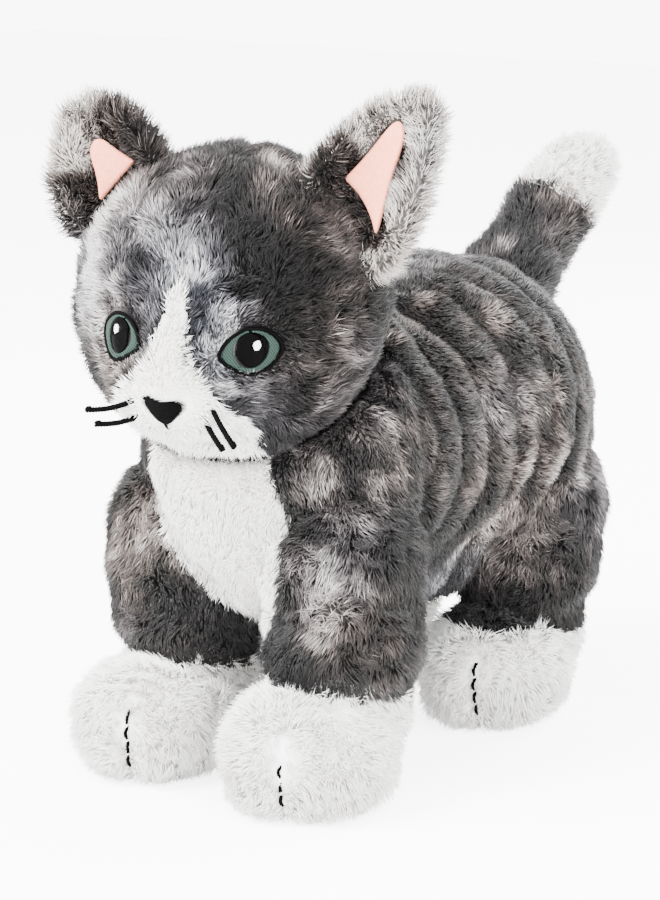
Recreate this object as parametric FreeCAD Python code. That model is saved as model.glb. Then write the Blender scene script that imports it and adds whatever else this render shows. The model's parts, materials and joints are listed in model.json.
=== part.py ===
"""Standing plush cat with a turning, nodding head, folding ears, four swinging legs and a wagging tail.

Millimetres. The cat stands on the floor plane z = 0 and faces -Y, so +X is the cat's left side.
The origin is on the floor, under the middle of the overall box.
"""
import FreeCAD, Part
import math
import os

V = FreeCAD.Vector
X_AXIS = V(1, 0, 0)
Y_AXIS = V(0, 1, 0)
Z_AXIS = V(0, 0, 1)
HERE = V(0, 0, 0)

# ---- driving dimensions ---------------------------------------------------------------------
MIDDLE = V(2.82, -8.67, 0.0)         # middle of the overall box, as seen from the working origin
PILE = 5.0                          # plush cover: backing cloth plus its pile
THIN_PILE = 4.5                     # cover on the legs and the tail
STUFFING_GAP = 0.4                  # play between a cover and the filling inside it
MOVING_GAP = 1.5                    # play between two bodies that move on each other
SWEEP_GAP = 2.3                     # the same around a swinging leg
BIG = 400.0                         # longer than anything on the toy, for cutting blocks

TORSO_MIDDLE = V(0, 4, 127)
TORSO_HALF = V(72, 115, 73)
# along the back: y, height of the centre, half width, half height
TORSO_RINGS = [
    (-111.5, 123.0, 11.0, 11.5), (-108.0, 123.0, 24.0, 25.0), (-99.0, 123.5, 41.0, 43.0),
    (-84.0, 124.0, 55.0, 57.5), (-64.0, 124.0, 63.0, 65.5), (-40.0, 124.5, 63.5, 66.0),
    (-15.0, 126.5, 63.0, 66.0), (12.0, 129.0, 67.5, 70.5), (42.0, 130.0, 72.0, 73.0),
    (66.0, 130.0, 68.0, 69.5), (87.0, 130.0, 58.0, 59.0), (104.0, 130.0, 41.5, 42.5),
    (113.5, 130.0, 24.5, 25.0), (117.3, 130.0, 11.0, 11.0)]

HEAD_CENTRE = V(0, -93, 200)
HEAD_TURN = 18.0                    # the head looks to its left at rest
HEAD_ROLL = 4.5                     # and leans a little to that side
HEAD_HALF = V(62, 60, 61)
HEAD_SEAM_Y = 4.0                   # seam over the crown, just in front of the ears
# from nose to nape: y, height of the centre, half width, half height
HEAD_RINGS = [
    (-69.0, -30.5, 6.0, 5.0), (-67.3, -28.5, 13.5, 11.0), (-63.5, -24.0, 21.0, 19.0),
    (-58.0, -15.5, 28.5, 29.0), (-51.0, -7.5, 36.0, 38.0), (-42.0, -2.5, 44.5, 45.0),
    (-30.0, 0.0, 53.8, 52.8), (-15.0, 0.0, 60.0, 59.1), (0.0, 0.0, 62.0, 61.0),
    (18.0, 0.0, 59.1, 58.2), (33.0, 0.0, 51.8, 50.9), (45.0, 0.0, 41.0, 40.3),
    (54.0, 0.0, 27.0, 26.6), (58.8, 0.0, 12.3, 12.1)]

NECK_BALL = V(0, -80, 150)          # loose filling where the head is sewn on
NECK_RADIUS = 24.0
NOD_AXIS_Z = 172.0
NOD_AXIS = V(math.cos(math.radians(HEAD_TURN)), math.sin(math.radians(HEAD_TURN)), 0)
NOD_RANGE = 10.0
HEAD_ROOM_CENTRE = V(0, -92.8, 199.6)   # bowl that holds the head at every turn and nod
HEAD_ROOM_HALF = V(70.0, 70.0, 68.5)

EAR_CENTRE = V(55, 0, 47)           # in the head's own frame, left ear
EAR_LEAN = 28.0
EAR_HALF_WIDTH = 25.0
EAR_HALF_HEIGHT = 28.0
EAR_CUP_RADIUS = 39.0
EAR_THICKNESS = 7.0
LINING_THICKNESS = 2.5
EAR_BASE_RADIUS = 64.5              # the ear folds on a line this far from the head's centre
EAR_FOLD_RANGE = 20.0

THREAD = 1.6                        # how far embroidery stands on the pile
FACE_GAP = 0.1
WHISKER_LENGTHS = (31.0, 28.0)
WHISKER_RADIUS = 0.7
WHISKER_KNOT = 1.3
WHISKER_CLEAR = 1.2                 # keeps the whole end of a thread off the pile

# name: side, ball centre y, ball radius, ankle radius, paw centre y, paw half sizes, swing range
HIP_Z = 95.0
ANKLE_Z = 38.0
PAW_Z = 24.0
PAW_SEAM_Z = 46.0                   # height of the white paw's seam at the leg's own middle
PAW_SEAM_FALL = 24.0                # the seam falls towards the heel, in degrees
SOLE_THICKNESS = 3.0
LEGS = {
    "front_left": dict(x=39.0, y=-75.0, ball=33.0, ankle=31.0, paw_y=-97.0,
                       paw=V(37, 42, 29), sole=(18.0, 21.0), swing=(-15.0, 15.0)),
    "front_right": dict(x=-39.0, y=-75.0, ball=33.0, ankle=31.0, paw_y=-97.0,
                        paw=V(37, 42, 29), sole=(18.0, 21.0), swing=(-15.0, 15.0)),
    "hind_left": dict(x=38.5, y=60.0, ball=34.0, ankle=28.0, paw_y=38.0,
                      paw=V(33, 40, 29), sole=(16.0, 19.5), swing=(-15.0, 15.0)),
    "hind_right": dict(x=-38.5, y=60.0, ball=34.0, ankle=28.0, paw_y=38.0,
                       paw=V(33, 40, 29), sole=(16.0, 19.5), swing=(-15.0, 15.0)),
}
TOE_STITCH_WIDTH = 1.2
TOE_STITCH_TURN = 18.0              # degrees that the stitches sit towards the left of each paw
TOE_STITCH_Z = (9.0, 34.0)

TAIL_ROOT = V(0, 98, 176)
TAIL_RISE = 49.0                    # degrees above the horizontal
TAIL_RADIUS = 17.5
TAIL_LENGTH = 66.0                  # root to the centre of the rounded end
TAIL_TIP_START = 50.0
TAIL_ROOT_RADIUS = 12.5
TAIL_SWING_RANGE = 25.0
TAIL_SOCKET_STEP = 2.3              # the socket starts this much wider than the root ball
TAIL_FLARE_EXTRA = 7.0              # wider still, for swinging and lifting at once
TAIL_LIFT_RANGE = 20.0


# ---- small tools ----------------------------------------------------------------------------
def ball(centre, radius):
    return Part.makeSphere(radius, centre)


def rod(start, end, radius, end_radius=None):
    along = end - start
    if end_radius is None or abs(end_radius - radius) < 1e-6:
        return Part.makeCylinder(radius, along.Length, start, along)
    return Part.makeCone(radius, end_radius, along.Length, start, along)


def box(low, high):
    size = high - low
    return Part.makeBox(size.x, size.y, size.z, low)


def egg(centre, half):
    """Ellipsoid with the three half sizes in half."""
    stretch = FreeCAD.Matrix()
    stretch.scale(half.x, half.y, half.z)
    solid = Part.makeSphere(1.0).transformGeometry(stretch)
    solid.translate(centre)
    return solid


def loft_along_y(rings, middle, half, inset):
    """Smooth closed body through elliptical rings, all drawn in towards middle by inset."""
    wires = []
    for y, z, half_width, half_height in rings:
        grow_x = (half.x - inset) / half.x
        grow_y = (half.y - inset) / half.y
        grow_z = (half.z - inset) / half.z
        points = []
        for step in range(16):
            turn = 2.0 * math.pi * step / 16
            points.append(V(middle.x + half_width * grow_x * math.cos(turn),
                            middle.y + (y - middle.y) * grow_y,
                            middle.z + (z - middle.z + half_height * math.sin(turn)) * grow_z))
        curve = Part.BSplineCurve()
        curve.interpolate(points, PeriodicFlag=True)
        wires.append(Part.Wire(curve.toShape()))
    return Part.makeLoft(wires, True, False)


def outline_block(points, y_start, y_end):
    """Block along Y whose outline in x and z is a smooth closed curve through points."""
    curve = Part.BSplineCurve()
    curve.interpolate([V(x, y_start, z) for x, z in points], PeriodicFlag=True)
    face = Part.Face(Part.Wire(curve.toShape()))
    return face.extrude(V(0, y_end - y_start, 0))


def biggest(shape):
    """The main solid of a cut, without any loose slivers."""
    return max(shape.Solids, key=lambda solid: solid.Volume)


def carve(shape, rooms):
    """Cut each room in turn."""
    for room in rooms:
        shape = shape.cut(room)
    return shape


def turned(shape, centre, axis, angle):
    copy = shape.copy()
    copy.rotate(centre, axis, angle)
    return copy


def side_of(sign):
    """Half space with x on the given side of the middle plane."""
    if sign > 0:
        return box(V(0, -BIG, -BIG), V(BIG, BIG, BIG))
    return box(V(-BIG, -BIG, -BIG), V(0, BIG, BIG))


# ---- head, in its own frame: origin at its centre, nose towards -Y ----------------------------
def place_head(shape):
    copy = shape.copy()
    copy.rotate(HERE, Y_AXIS, HEAD_ROLL)
    copy.rotate(HERE, Z_AXIS, HEAD_TURN)
    copy.translate(HEAD_CENTRE)
    return copy


def head_body(inset):
    return loft_along_y(HEAD_RINGS, HERE, HEAD_HALF, inset)


def blaze_block():
    """White blaze: narrow between the eyes, wide over the muzzle and under the chin."""
    outline = [(0, 17), (6.5, 10), (9, -2), (8.5, -10), (16, -17), (24, -24), (28.5, -34), (30, -48),
               (28, -68), (0, -76), (-28, -68), (-30, -48), (-28.5, -34), (-24, -24), (-16, -17),
               (-8.5, -10), (-9, -2), (-6.5, 10)]
    return outline_block(outline, -90.0, -22.0)


def almond(half_width, up, down):
    """Eye outline, inner corner towards -x."""
    return [(-half_width, -0.6), (-0.62 * half_width, 0.66 * up), (-0.05 * half_width, up),
            (0.6 * half_width, 0.82 * up), (half_width, 1.2), (0.74 * half_width, -0.62 * down),
            (0.16 * half_width, -down), (-0.55 * half_width, -0.72 * down)]


def circle_outline(x, z, radius):
    points = []
    for step in range(8):
        turn = math.pi * step / 4
        points.append((x + radius * math.cos(turn), z + radius * math.sin(turn)))
    return points


def aim_at_eye(block, sign):
    """Turn a block drawn for the left eye on the -Y axis to where the eye is."""
    copy = block.copy()
    if sign < 0:
        copy = copy.mirror(HERE, X_AXIS)
    copy.rotate(HERE, X_AXIS, 8.5)
    copy.rotate(HERE, Z_AXIS, 26.5 * sign)
    return copy


def eye_pieces(layer, sign, side):
    rim = outline_block(almond(12.8, 9.4, 9.2), -85.0, -35.0)
    iris = outline_block(almond(11.2, 8.0, 7.8), -85.0, -35.0)
    pupil = outline_block(circle_outline(-0.2, 0.9, 6.6), -85.0, -35.0)
    glint = outline_block(circle_outline(2.2, 2.8, 1.8), -85.0, -35.0)
    blocks = {"outline": rim.cut(iris), "iris": iris.cut(pupil), "pupil": pupil.cut(glint),
              "highlight": glint}
    pieces = {}
    for name, block in blocks.items():
        pieces["eye_%s_%s" % (side, name)] = layer.common(aim_at_eye(block, sign))
    return pieces


def whisker_pair(head_skin, sign):
    """Two whisker threads beside the nose, each knotted at its free end."""
    if sign > 0:
        starts = [V(11, -58, -27), V(8, -58, -31)]
        heading = V(0.66, -0.33, -0.67)
    else:
        starts = [V(-5.5, -58, -29), V(-4.5, -58, -35)]
        heading = V(-0.88, -0.40, -0.24)
    threads = []
    for start, length in zip(starts, WHISKER_LENGTHS):
        end = start + heading * length
        outside = Part.makeLine(start, end).cut(head_skin)
        leaves = max(outside.Vertexes, key=lambda corner: (corner.Point - end).Length).Point
        thread = rod(leaves + heading * WHISKER_CLEAR, end, WHISKER_RADIUS)
        threads.append(biggest(thread.fuse(ball(end, WHISKER_KNOT))))
    return Part.makeCompound(threads)


def neck_hollow():
    """Room in the head for the neck filling, through the whole nod."""
    hollows = []
    for angle in (-NOD_RANGE, 0.0, NOD_RANGE):
        hollow = ball(NECK_BALL, NECK_RADIUS + MOVING_GAP)
        hollow.rotate(V(0, NECK_BALL.y, NOD_AXIS_Z), NOD_AXIS, -angle)
        hollows.append(hollow)
    return hollows


def ear_frame(shape, sign):
    """Lean an upright left ear outwards and set it on the head."""
    copy = shape.copy()
    copy.rotate(HERE, Y_AXIS, EAR_LEAN)
    copy.translate(EAR_CENTRE)
    if sign < 0:
        copy = copy.mirror(HERE, X_AXIS)
    return copy


def ear_base_point():
    """Where the ear's middle line crosses the fold radius, left ear."""
    lean = math.radians(EAR_LEAN)
    along = V(math.sin(lean), 0, math.cos(lean))
    reach = EAR_CENTRE.dot(along)
    slide = -reach + math.sqrt(reach ** 2 - EAR_CENTRE.dot(EAR_CENTRE) + EAR_BASE_RADIUS ** 2)
    return EAR_CENTRE + along * slide


def ear_pieces(sign, side):
    wide = EAR_HALF_WIDTH
    tall = EAR_HALF_HEIGHT
    outline = [(-wide, -0.25 * tall), (-0.86 * wide, 0.35 * tall), (-0.5 * wide, 0.82 * tall),
               (0, tall), (0.5 * wide, 0.82 * tall), (0.86 * wide, 0.35 * tall),
               (wide, -0.25 * tall), (0.7 * wide, -0.95 * tall), (-0.7 * wide, -0.95 * tall)]
    pointed = [(0, 18), (6, 14), (10, 3), (14, -10), (16, -20), (8, -17), (-4, -12), (-14, -10),
               (-11, -2), (-5, 11)]
    cup = V(0, EAR_THICKNESS / 2 - EAR_CUP_RADIUS, -BIG / 2)
    radii = [EAR_CUP_RADIUS, EAR_CUP_RADIUS - EAR_THICKNESS]
    radii += [radii[1] - 0.2, radii[1] - 0.2 - LINING_THICKNESS]
    drums = [Part.makeCylinder(radius, BIG, cup) for radius in radii]
    front = box(V(-BIG, -24, -BIG), V(BIG, BIG, BIG))
    back = outline_block(outline, -60.0, 60.0).common(drums[0].cut(drums[1])).common(front)
    lining = outline_block(pointed, -60.0, 60.0).common(drums[2].cut(drums[3])).common(front)
    base = ear_base_point()
    base = V(sign * base.x, base.y, base.z)
    fold_axis = V(base.z, 0, -base.x)
    rooms = []
    for angle in (-EAR_FOLD_RANGE, 0.0, EAR_FOLD_RANGE):
        room = egg(HERE, V(HEAD_HALF.x + MOVING_GAP, HEAD_HALF.y + MOVING_GAP,
                           HEAD_HALF.z + MOVING_GAP))
        rooms.append(turned(room, base, fold_axis, angle))
    pieces = {}
    for name, piece in (("back", back), ("lining", lining)):
        placed = ear_frame(piece, sign)
        pieces["ear_%s_%s" % (side, name)] = biggest(carve(placed, rooms))
    return pieces


def build_head():
    outer = head_body(0.0)
    inner = head_body(PILE)
    filling = head_body(PILE + STUFFING_GAP)
    layer = head_body(-FACE_GAP - THREAD).cut(head_body(-FACE_GAP))
    cover = outer.cut(inner)
    blaze = blaze_block()
    behind = box(V(-BIG, HEAD_SEAM_Y, -BIG), V(BIG, BIG, BIG))
    front = cover.cut(behind).cut(blaze)
    pieces = {
        "face_blaze": cover.common(blaze),
        "head_cover_left": front.common(side_of(1)),
        "head_cover_right": front.common(side_of(-1)),
        "head_back_panel": cover.common(behind),
        "head_stuffing": filling,
    }
    nose = [(-8.0, -29.8), (-3.6, -28.6), (0, -29.1), (3.6, -28.6), (8.0, -29.8), (6.2, -34.5),
            (0, -40.2), (-6.2, -34.5)]
    pieces["nose_embroidery"] = layer.common(outline_block(nose, -90.0, -50.0))
    mouth = box(V(-0.6, -90, -45.5), V(0.6, -50, -40.8))
    pieces["mouth_stitch"] = layer.common(mouth)
    for sign, side in ((1, "left"), (-1, "right")):
        pieces.update(eye_pieces(layer, sign, side))
        pieces["whiskers_" + side] = whisker_pair(head_body(-FACE_GAP), sign)
        pieces.update(ear_pieces(sign, side))
    placed = {name: place_head(shape) for name, shape in pieces.items()}
    for name in ("face_blaze", "head_cover_left", "head_cover_right", "head_back_panel",
                 "head_stuffing"):
        placed[name] = biggest(carve(placed[name], neck_hollow()))
    return placed


# ---- legs -------------------------------------------------------------------------------------
def limb_body(leg, inset, floor):
    """Hip ball, tapering leg and rounded paw in one, drawn in by inset and flat at floor."""
    hip = V(leg["x"], leg["y"], HIP_Z)
    ankle = V(leg["x"], leg["y"], ANKLE_Z)
    paw = egg(V(leg["x"], leg["paw_y"], PAW_Z),
              V(leg["paw"].x - inset, leg["paw"].y - inset, leg["paw"].z - inset))
    limb = ball(hip, leg["ball"] - inset)
    limb = limb.fuse(rod(hip, ankle, leg["ball"] - inset, leg["ankle"] - inset))
    limb = limb.fuse(ball(ankle, leg["ankle"] - inset))
    limb = limb.fuse(paw)
    return limb.cut(box(V(-BIG, -BIG, -BIG), V(BIG, BIG, floor)))


def below_paw_seam(leg):
    block = box(V(-BIG, -BIG, -BIG), V(BIG, BIG, 0))
    block.rotate(HERE, X_AXIS, -PAW_SEAM_FALL)
    block.translate(V(0, leg["y"], PAW_SEAM_Z))
    return block


def sole_disc(leg, grow):
    disc = Part.makeCylinder(1.0, 1.0)
    stretch = FreeCAD.Matrix()
    stretch.scale(leg["sole"][0] + grow, leg["sole"][1] + grow, SOLE_THICKNESS + grow)
    disc = disc.transformGeometry(stretch)
    disc.translate(V(leg["x"], leg["paw_y"], 0))
    return disc


def toe_stitch(leg):
    """Stitched line that parts the two toes of a paw."""
    centre = V(leg["x"], leg["paw_y"], PAW_Z)
    half = leg["paw"]
    outer = egg(centre, half + V(1, 1, 1) * (FACE_GAP + 1.0))
    layer = outer.cut(egg(centre, half + V(1, 1, 1) * FACE_GAP))
    slab = box(V(leg["x"] - TOE_STITCH_WIDTH / 2, -BIG, TOE_STITCH_Z[0]),
               V(leg["x"] + TOE_STITCH_WIDTH / 2, leg["paw_y"] - 10.0, TOE_STITCH_Z[1]))
    slab.rotate(V(leg["x"], leg["paw_y"], 0), Z_AXIS, TOE_STITCH_TURN)
    return biggest(layer.common(slab))


def build_leg(name):
    leg = LEGS[name]
    outer = limb_body(leg, 0.0, 0.0)
    cover = outer.cut(limb_body(leg, THIN_PILE, SOLE_THICKNESS + 1.0))
    filling = limb_body(leg, THIN_PILE + STUFFING_GAP, SOLE_THICKNESS + 1.0 + STUFFING_GAP)
    below = below_paw_seam(leg)
    paw = cover.common(below).cut(sole_disc(leg, 0.2))
    return {
        "leg_%s_cover" % name: biggest(cover.cut(below)),
        "leg_%s_stuffing" % name: biggest(filling),
        "paw_%s_cover" % name: biggest(paw),
        "paw_%s_sole" % name: sole_disc(leg, 0.0),
        "toe_stitch_%s" % name: toe_stitch(leg),
    }


# ---- tail ---------------------------------------------------------------------------------------
def tail_heading():
    rise = math.radians(TAIL_RISE)
    return V(0, math.cos(rise), math.sin(rise))


def tail_body(inset):
    end = TAIL_ROOT + tail_heading() * TAIL_LENGTH
    tail = rod(TAIL_ROOT, end, TAIL_RADIUS - inset)
    return tail.fuse(ball(end, TAIL_RADIUS - inset))


def build_tail():
    heading = tail_heading()
    cover = tail_body(0.0).cut(tail_body(THIN_PILE))
    tip_start = TAIL_ROOT + heading * TAIL_TIP_START
    tip_side = Part.makeCylinder(BIG, BIG, tip_start, heading)
    filling = tail_body(THIN_PILE + STUFFING_GAP).cut(ball(TAIL_ROOT, TAIL_ROOT_RADIUS + 0.5))
    return {
        "tail_cover": biggest(cover.cut(tip_side)),
        "tail_tip_cover": biggest(cover.common(tip_side)),
        "tail_stuffing": biggest(filling),
        "tail_root_stuffing": ball(TAIL_ROOT, TAIL_ROOT_RADIUS),
    }


# ---- torso ---------------------------------------------------------------------------------------
def torso_body(inset):
    return loft_along_y(TORSO_RINGS, TORSO_MIDDLE, TORSO_HALF, inset)


def leg_rooms():
    """Space that each leg sweeps under the torso."""
    rooms = []
    for leg in LEGS.values():
        hip = V(leg["x"], leg["y"], HIP_Z)
        low, high = leg["swing"]
        rooms.append(ball(hip, leg["ball"] + MOVING_GAP))
        for angle in (low, (low + high) / 2, high):
            column = rod(hip, hip - V(0, 0, HIP_Z), leg["ball"] + SWEEP_GAP - 1.5,
                         leg["ankle"] + SWEEP_GAP)
            rooms.append(turned(column, hip, X_AXIS, angle))
    return rooms


def head_rooms():
    """Bowl that the turning and nodding head needs in the shoulders."""
    return [ball(NECK_BALL, NECK_RADIUS + MOVING_GAP), egg(HEAD_ROOM_CENTRE, HEAD_ROOM_HALF)]


def tail_rooms():
    """Flared socket that the wagging tail needs in the rump."""
    radius = TAIL_RADIUS + MOVING_GAP
    flare = math.tan(math.radians(TAIL_SWING_RANGE + TAIL_FLARE_EXTRA)) * TAIL_LENGTH
    end = TAIL_ROOT + tail_heading() * TAIL_LENGTH
    socket = radius + TAIL_SOCKET_STEP
    return [ball(TAIL_ROOT, socket), rod(TAIL_ROOT, end, socket, radius + flare)]


def bib_block():
    """White bib: full under the chin, rounded off between the front legs."""
    outline = [(-36, 150), (-34, 122), (-30, 100), (-22, 82), (-9, 69), (8, 63), (24, 69), (36, 82),
               (38, 100), (34, 122), (30, 150), (20, 172), (-24, 172)]
    return outline_block(outline, -140.0, -62.0)


def belly_block():
    return box(V(-24, -62, 0), V(24, 84, 92))


def build_torso():
    rooms = leg_rooms() + head_rooms() + tail_rooms()
    cover = carve(torso_body(0.0).cut(torso_body(PILE)), rooms)
    filling = carve(torso_body(PILE + STUFFING_GAP), rooms)
    bib = bib_block()
    belly = belly_block()
    flanks = cover.cut(bib).cut(belly)
    return {
        "torso_cover_left": biggest(flanks.common(side_of(1))),
        "torso_cover_right": biggest(flanks.common(side_of(-1))),
        "chest_bib": biggest(cover.common(bib)),
        "belly_panel": biggest(cover.common(belly)),
        "torso_stuffing": biggest(filling),
        "neck_stuffing": ball(NECK_BALL, NECK_RADIUS),
    }


# ---- whole cat -------------------------------------------------------------------------------------
def build_cat():
    pieces = build_torso()
    pieces.update(build_head())
    for name in LEGS:
        pieces.update(build_leg(name))
    pieces.update(build_tail())
    return pieces


os.makedirs("parts", exist_ok=True)
overall = FreeCAD.BoundBox()
for node, shape in sorted(build_cat().items()):
    shape.translate(-MIDDLE)
    overall.add(shape.BoundBox)
    shape.exportStep("parts/%s.step" % node)
    print(node, "solids", len(shape.Solids), "volume", round(shape.Volume), "valid", shape.isValid())
print("overall", overall)
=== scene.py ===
"""Looks of the standing plush cat: soft skins, real fur, embroidery, whiskers and the photo studio.

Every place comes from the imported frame. Shapes are worked out in millimetres and put into
Blender in metres. The cat faces -Y and +X is its left side.
"""
import json
import math
from collections import namedtuple
from itertools import groupby

import bpy
import numpy as np
import openvdb
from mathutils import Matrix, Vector
from mathutils.bvhtree import BVHTree
from mathutils.kdtree import KDTree


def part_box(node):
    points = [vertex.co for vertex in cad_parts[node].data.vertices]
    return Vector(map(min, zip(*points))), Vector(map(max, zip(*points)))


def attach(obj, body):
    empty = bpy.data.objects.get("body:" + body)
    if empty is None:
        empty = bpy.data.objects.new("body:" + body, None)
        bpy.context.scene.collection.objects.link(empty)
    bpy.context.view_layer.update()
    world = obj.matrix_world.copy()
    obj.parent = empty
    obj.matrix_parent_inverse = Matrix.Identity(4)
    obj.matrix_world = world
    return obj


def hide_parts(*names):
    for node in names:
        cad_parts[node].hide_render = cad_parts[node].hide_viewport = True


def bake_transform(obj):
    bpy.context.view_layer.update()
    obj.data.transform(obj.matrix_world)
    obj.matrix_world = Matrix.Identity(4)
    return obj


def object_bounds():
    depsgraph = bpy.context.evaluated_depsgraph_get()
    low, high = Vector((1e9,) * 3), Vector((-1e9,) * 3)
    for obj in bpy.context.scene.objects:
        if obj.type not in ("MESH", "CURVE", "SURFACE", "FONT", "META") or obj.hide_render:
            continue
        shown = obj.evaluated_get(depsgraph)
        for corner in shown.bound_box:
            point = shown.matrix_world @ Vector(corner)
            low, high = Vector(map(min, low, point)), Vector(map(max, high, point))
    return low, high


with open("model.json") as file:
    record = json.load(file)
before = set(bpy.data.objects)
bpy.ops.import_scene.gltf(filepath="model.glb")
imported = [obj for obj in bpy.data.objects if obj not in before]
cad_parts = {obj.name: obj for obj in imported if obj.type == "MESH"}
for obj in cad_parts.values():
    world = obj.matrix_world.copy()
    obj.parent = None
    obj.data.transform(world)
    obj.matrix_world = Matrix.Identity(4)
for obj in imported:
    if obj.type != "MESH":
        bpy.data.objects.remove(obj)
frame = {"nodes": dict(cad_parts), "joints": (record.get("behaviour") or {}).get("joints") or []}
CAD_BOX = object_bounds()

MM = 0.001
SIDES = ("left", "right")
LEGS = ("front_left", "front_right", "hind_left", "hind_right")
JOINTS = {joint["name"]: joint for joint in frame["joints"]}


# ---- places from the frame, in millimetres
def unit(vector, least=0.0):
    """Vectors made 1 long, but shorter where they were shorter than least."""
    vector = np.asarray(vector, float)
    return vector / np.maximum(np.linalg.norm(vector, axis=-1, keepdims=True), least)


def joint_point(name):
    return np.array(JOINTS[name]["pos_m"]) * 1000


def low_high(node):
    low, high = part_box(node)
    return np.array(low) * 1000, np.array(high) * 1000


def middle(node):
    low, high = low_high(node)
    return (low + high) / 2


EAR_BASE = {side: joint_point("ear_%s_fold" % side) for side in SIDES}
EAR_BASE_UP = 40.8  # height of the ear bases over the head's centre
HEAD_X = unit(EAR_BASE["left"] - EAR_BASE["right"])
HEAD_Y = unit(np.cross([0, 0, 1], JOINTS["head_nod"]["axis"]))
HEAD_Z = np.cross(HEAD_X, HEAD_Y)
HEAD_AXES = np.stack([HEAD_X, HEAD_Y, HEAD_Z])
HEAD_CENTRE = (EAR_BASE["left"] + EAR_BASE["right"]) / 2 - HEAD_Z * EAR_BASE_UP
NOSE = middle("nose_embroidery")
SPINE_X = joint_point("tail_lift")[0]
HIP = {leg: joint_point("leg_%s_swing" % leg) for leg in LEGS}
PAW = {leg: middle("paw_%s_sole" % leg) for leg in LEGS}
TAIL_ROOT = joint_point("tail_lift")
TAIL_TIP = middle("tail_tip_cover")
TAIL_ALONG = unit(TAIL_TIP - TAIL_ROOT)
LEG_BEND_TOP = low_high("belly_panel")[0][2] + 6.0
LEG_BEND_LENGTH = 32.0
TOE_NODE = "toe_stitch_"


def in_head(points):
    """Row-frame points in the head's own frame: +X its left, -Y its nose, +Z its crown."""
    return (points - HEAD_CENTRE) @ HEAD_AXES.T


# ---- smooth noise
def random_waves(seed, count, slow, fast, rate):
    """Turns per millimetre and starts of waves in random directions."""
    rng = np.random.default_rng(seed)
    turns = unit(rng.normal(size=(count, 3))) * rng.uniform(slow, fast, (count, 1)) * rate
    return zip(turns, rng.uniform(0, 2 * math.pi, count))


def noise(points, scale, seed, waves=28):
    """Soft random values around 0, about 1 high, that change over scale millimetres."""
    total = np.zeros(len(points))
    for turn, phase in random_waves(seed, waves, 0.6, 1.5, 2.2 / scale):
        total += np.cos(points @ turn + phase)
    return total * math.sqrt(2.0 / waves)


def smooth(value, low, high):
    step = np.clip((value - low) / (high - low), 0, 1)
    return step * step * (3 - 2 * step)


def between(value, low, full_low, full_high, high):
    """1 from full_low to full_high, 0 below low and above high."""
    return smooth(value, low, full_low) * smooth(value, high, full_high)


def ridge(distance, width):
    """1 on a line, falling to 0 a little more than width away from it."""
    return np.exp(-(distance / width) ** 2)


def bump(points, centre, size):
    """1 at centre, falling to 0 over size, which may differ along each axis."""
    return np.exp(-0.5 * (((points - np.asarray(centre)) / np.asarray(size)) ** 2).sum(1) * 2.2)


# ---- mesh helpers
def mesh_arrays(mesh):
    points = np.empty(len(mesh.vertices) * 3)
    mesh.vertices.foreach_get("co", points)
    return points.reshape(-1, 3) * 1000


def node_mesh(node):
    """Points and triangles of a CAD node."""
    mesh = frame["nodes"][node].data
    mesh.calc_loop_triangles()
    corners = np.empty(len(mesh.loop_triangles) * 3, np.int32)
    mesh.loop_triangles.foreach_get("vertices", corners)
    return mesh_arrays(mesh), corners.reshape(-1, 3)


def joined(parts):
    """One set of points and one of faces from several pairs of them."""
    shifts = np.cumsum([0] + [len(points) for points, faces in parts])
    faces = [faces + shift for (points, faces), shift in zip(parts, shifts)]
    return np.concatenate([points for points, faces in parts]), np.concatenate(faces)


def make_mesh(name, points, faces):
    """Mesh from millimetre points and faces that all have the same number of corners."""
    faces = np.asarray(faces, np.int32)
    mesh = bpy.data.meshes.new(name)
    mesh.vertices.add(len(points))
    mesh.vertices.foreach_set("co", (np.asarray(points, float) * MM).astype(np.float32).ravel())
    corners = faces.shape[1]
    mesh.loops.add(faces.size)
    mesh.loops.foreach_set("vertex_index", faces.ravel())
    mesh.polygons.add(len(faces))
    mesh.polygons.foreach_set("loop_start", np.arange(0, faces.size, corners, dtype=np.int32))
    mesh.polygons.foreach_set("use_smooth", np.ones(len(faces), bool))
    mesh.update(calc_edges=True)
    return mesh


def add_object(name, data):
    made = bpy.data.objects.new(name, data)
    bpy.context.scene.collection.objects.link(made)
    return made


def set_all(thing, settings):
    for key, value in settings.items():
        setattr(thing, key, value)


def piece(name, points, faces, material, **values):
    """A new piece with its material and its named values at every point."""
    mesh = make_mesh(name, points, faces)
    for key, numbers in values.items():
        attribute = mesh.attributes.new(key, "FLOAT", "POINT")
        attribute.data.foreach_set("value", np.asarray(numbers, np.float32))
    mesh.materials.append(material)
    return add_object(name, mesh)


def stands_for(made, node):
    """Hides the CAD node whose place the piece takes."""
    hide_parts(node)
    return made


def leg_of(node):
    return next((leg for leg in LEGS if leg in node), None)


def toe_frame(leg):
    """Middle of a paw's stitched line, the way across it and the way out of the paw."""
    points = node_mesh(TOE_NODE + leg)[0]
    centre = points.mean(0)
    across = np.linalg.svd(points - centre, full_matrices=False)[2][2]
    across = unit(across * [1, 1, 0]) * np.sign(across[0])
    return centre, across, np.array([across[1], -across[0], 0.0])


TOES = {leg: toe_frame(leg) for leg in LEGS}


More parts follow.
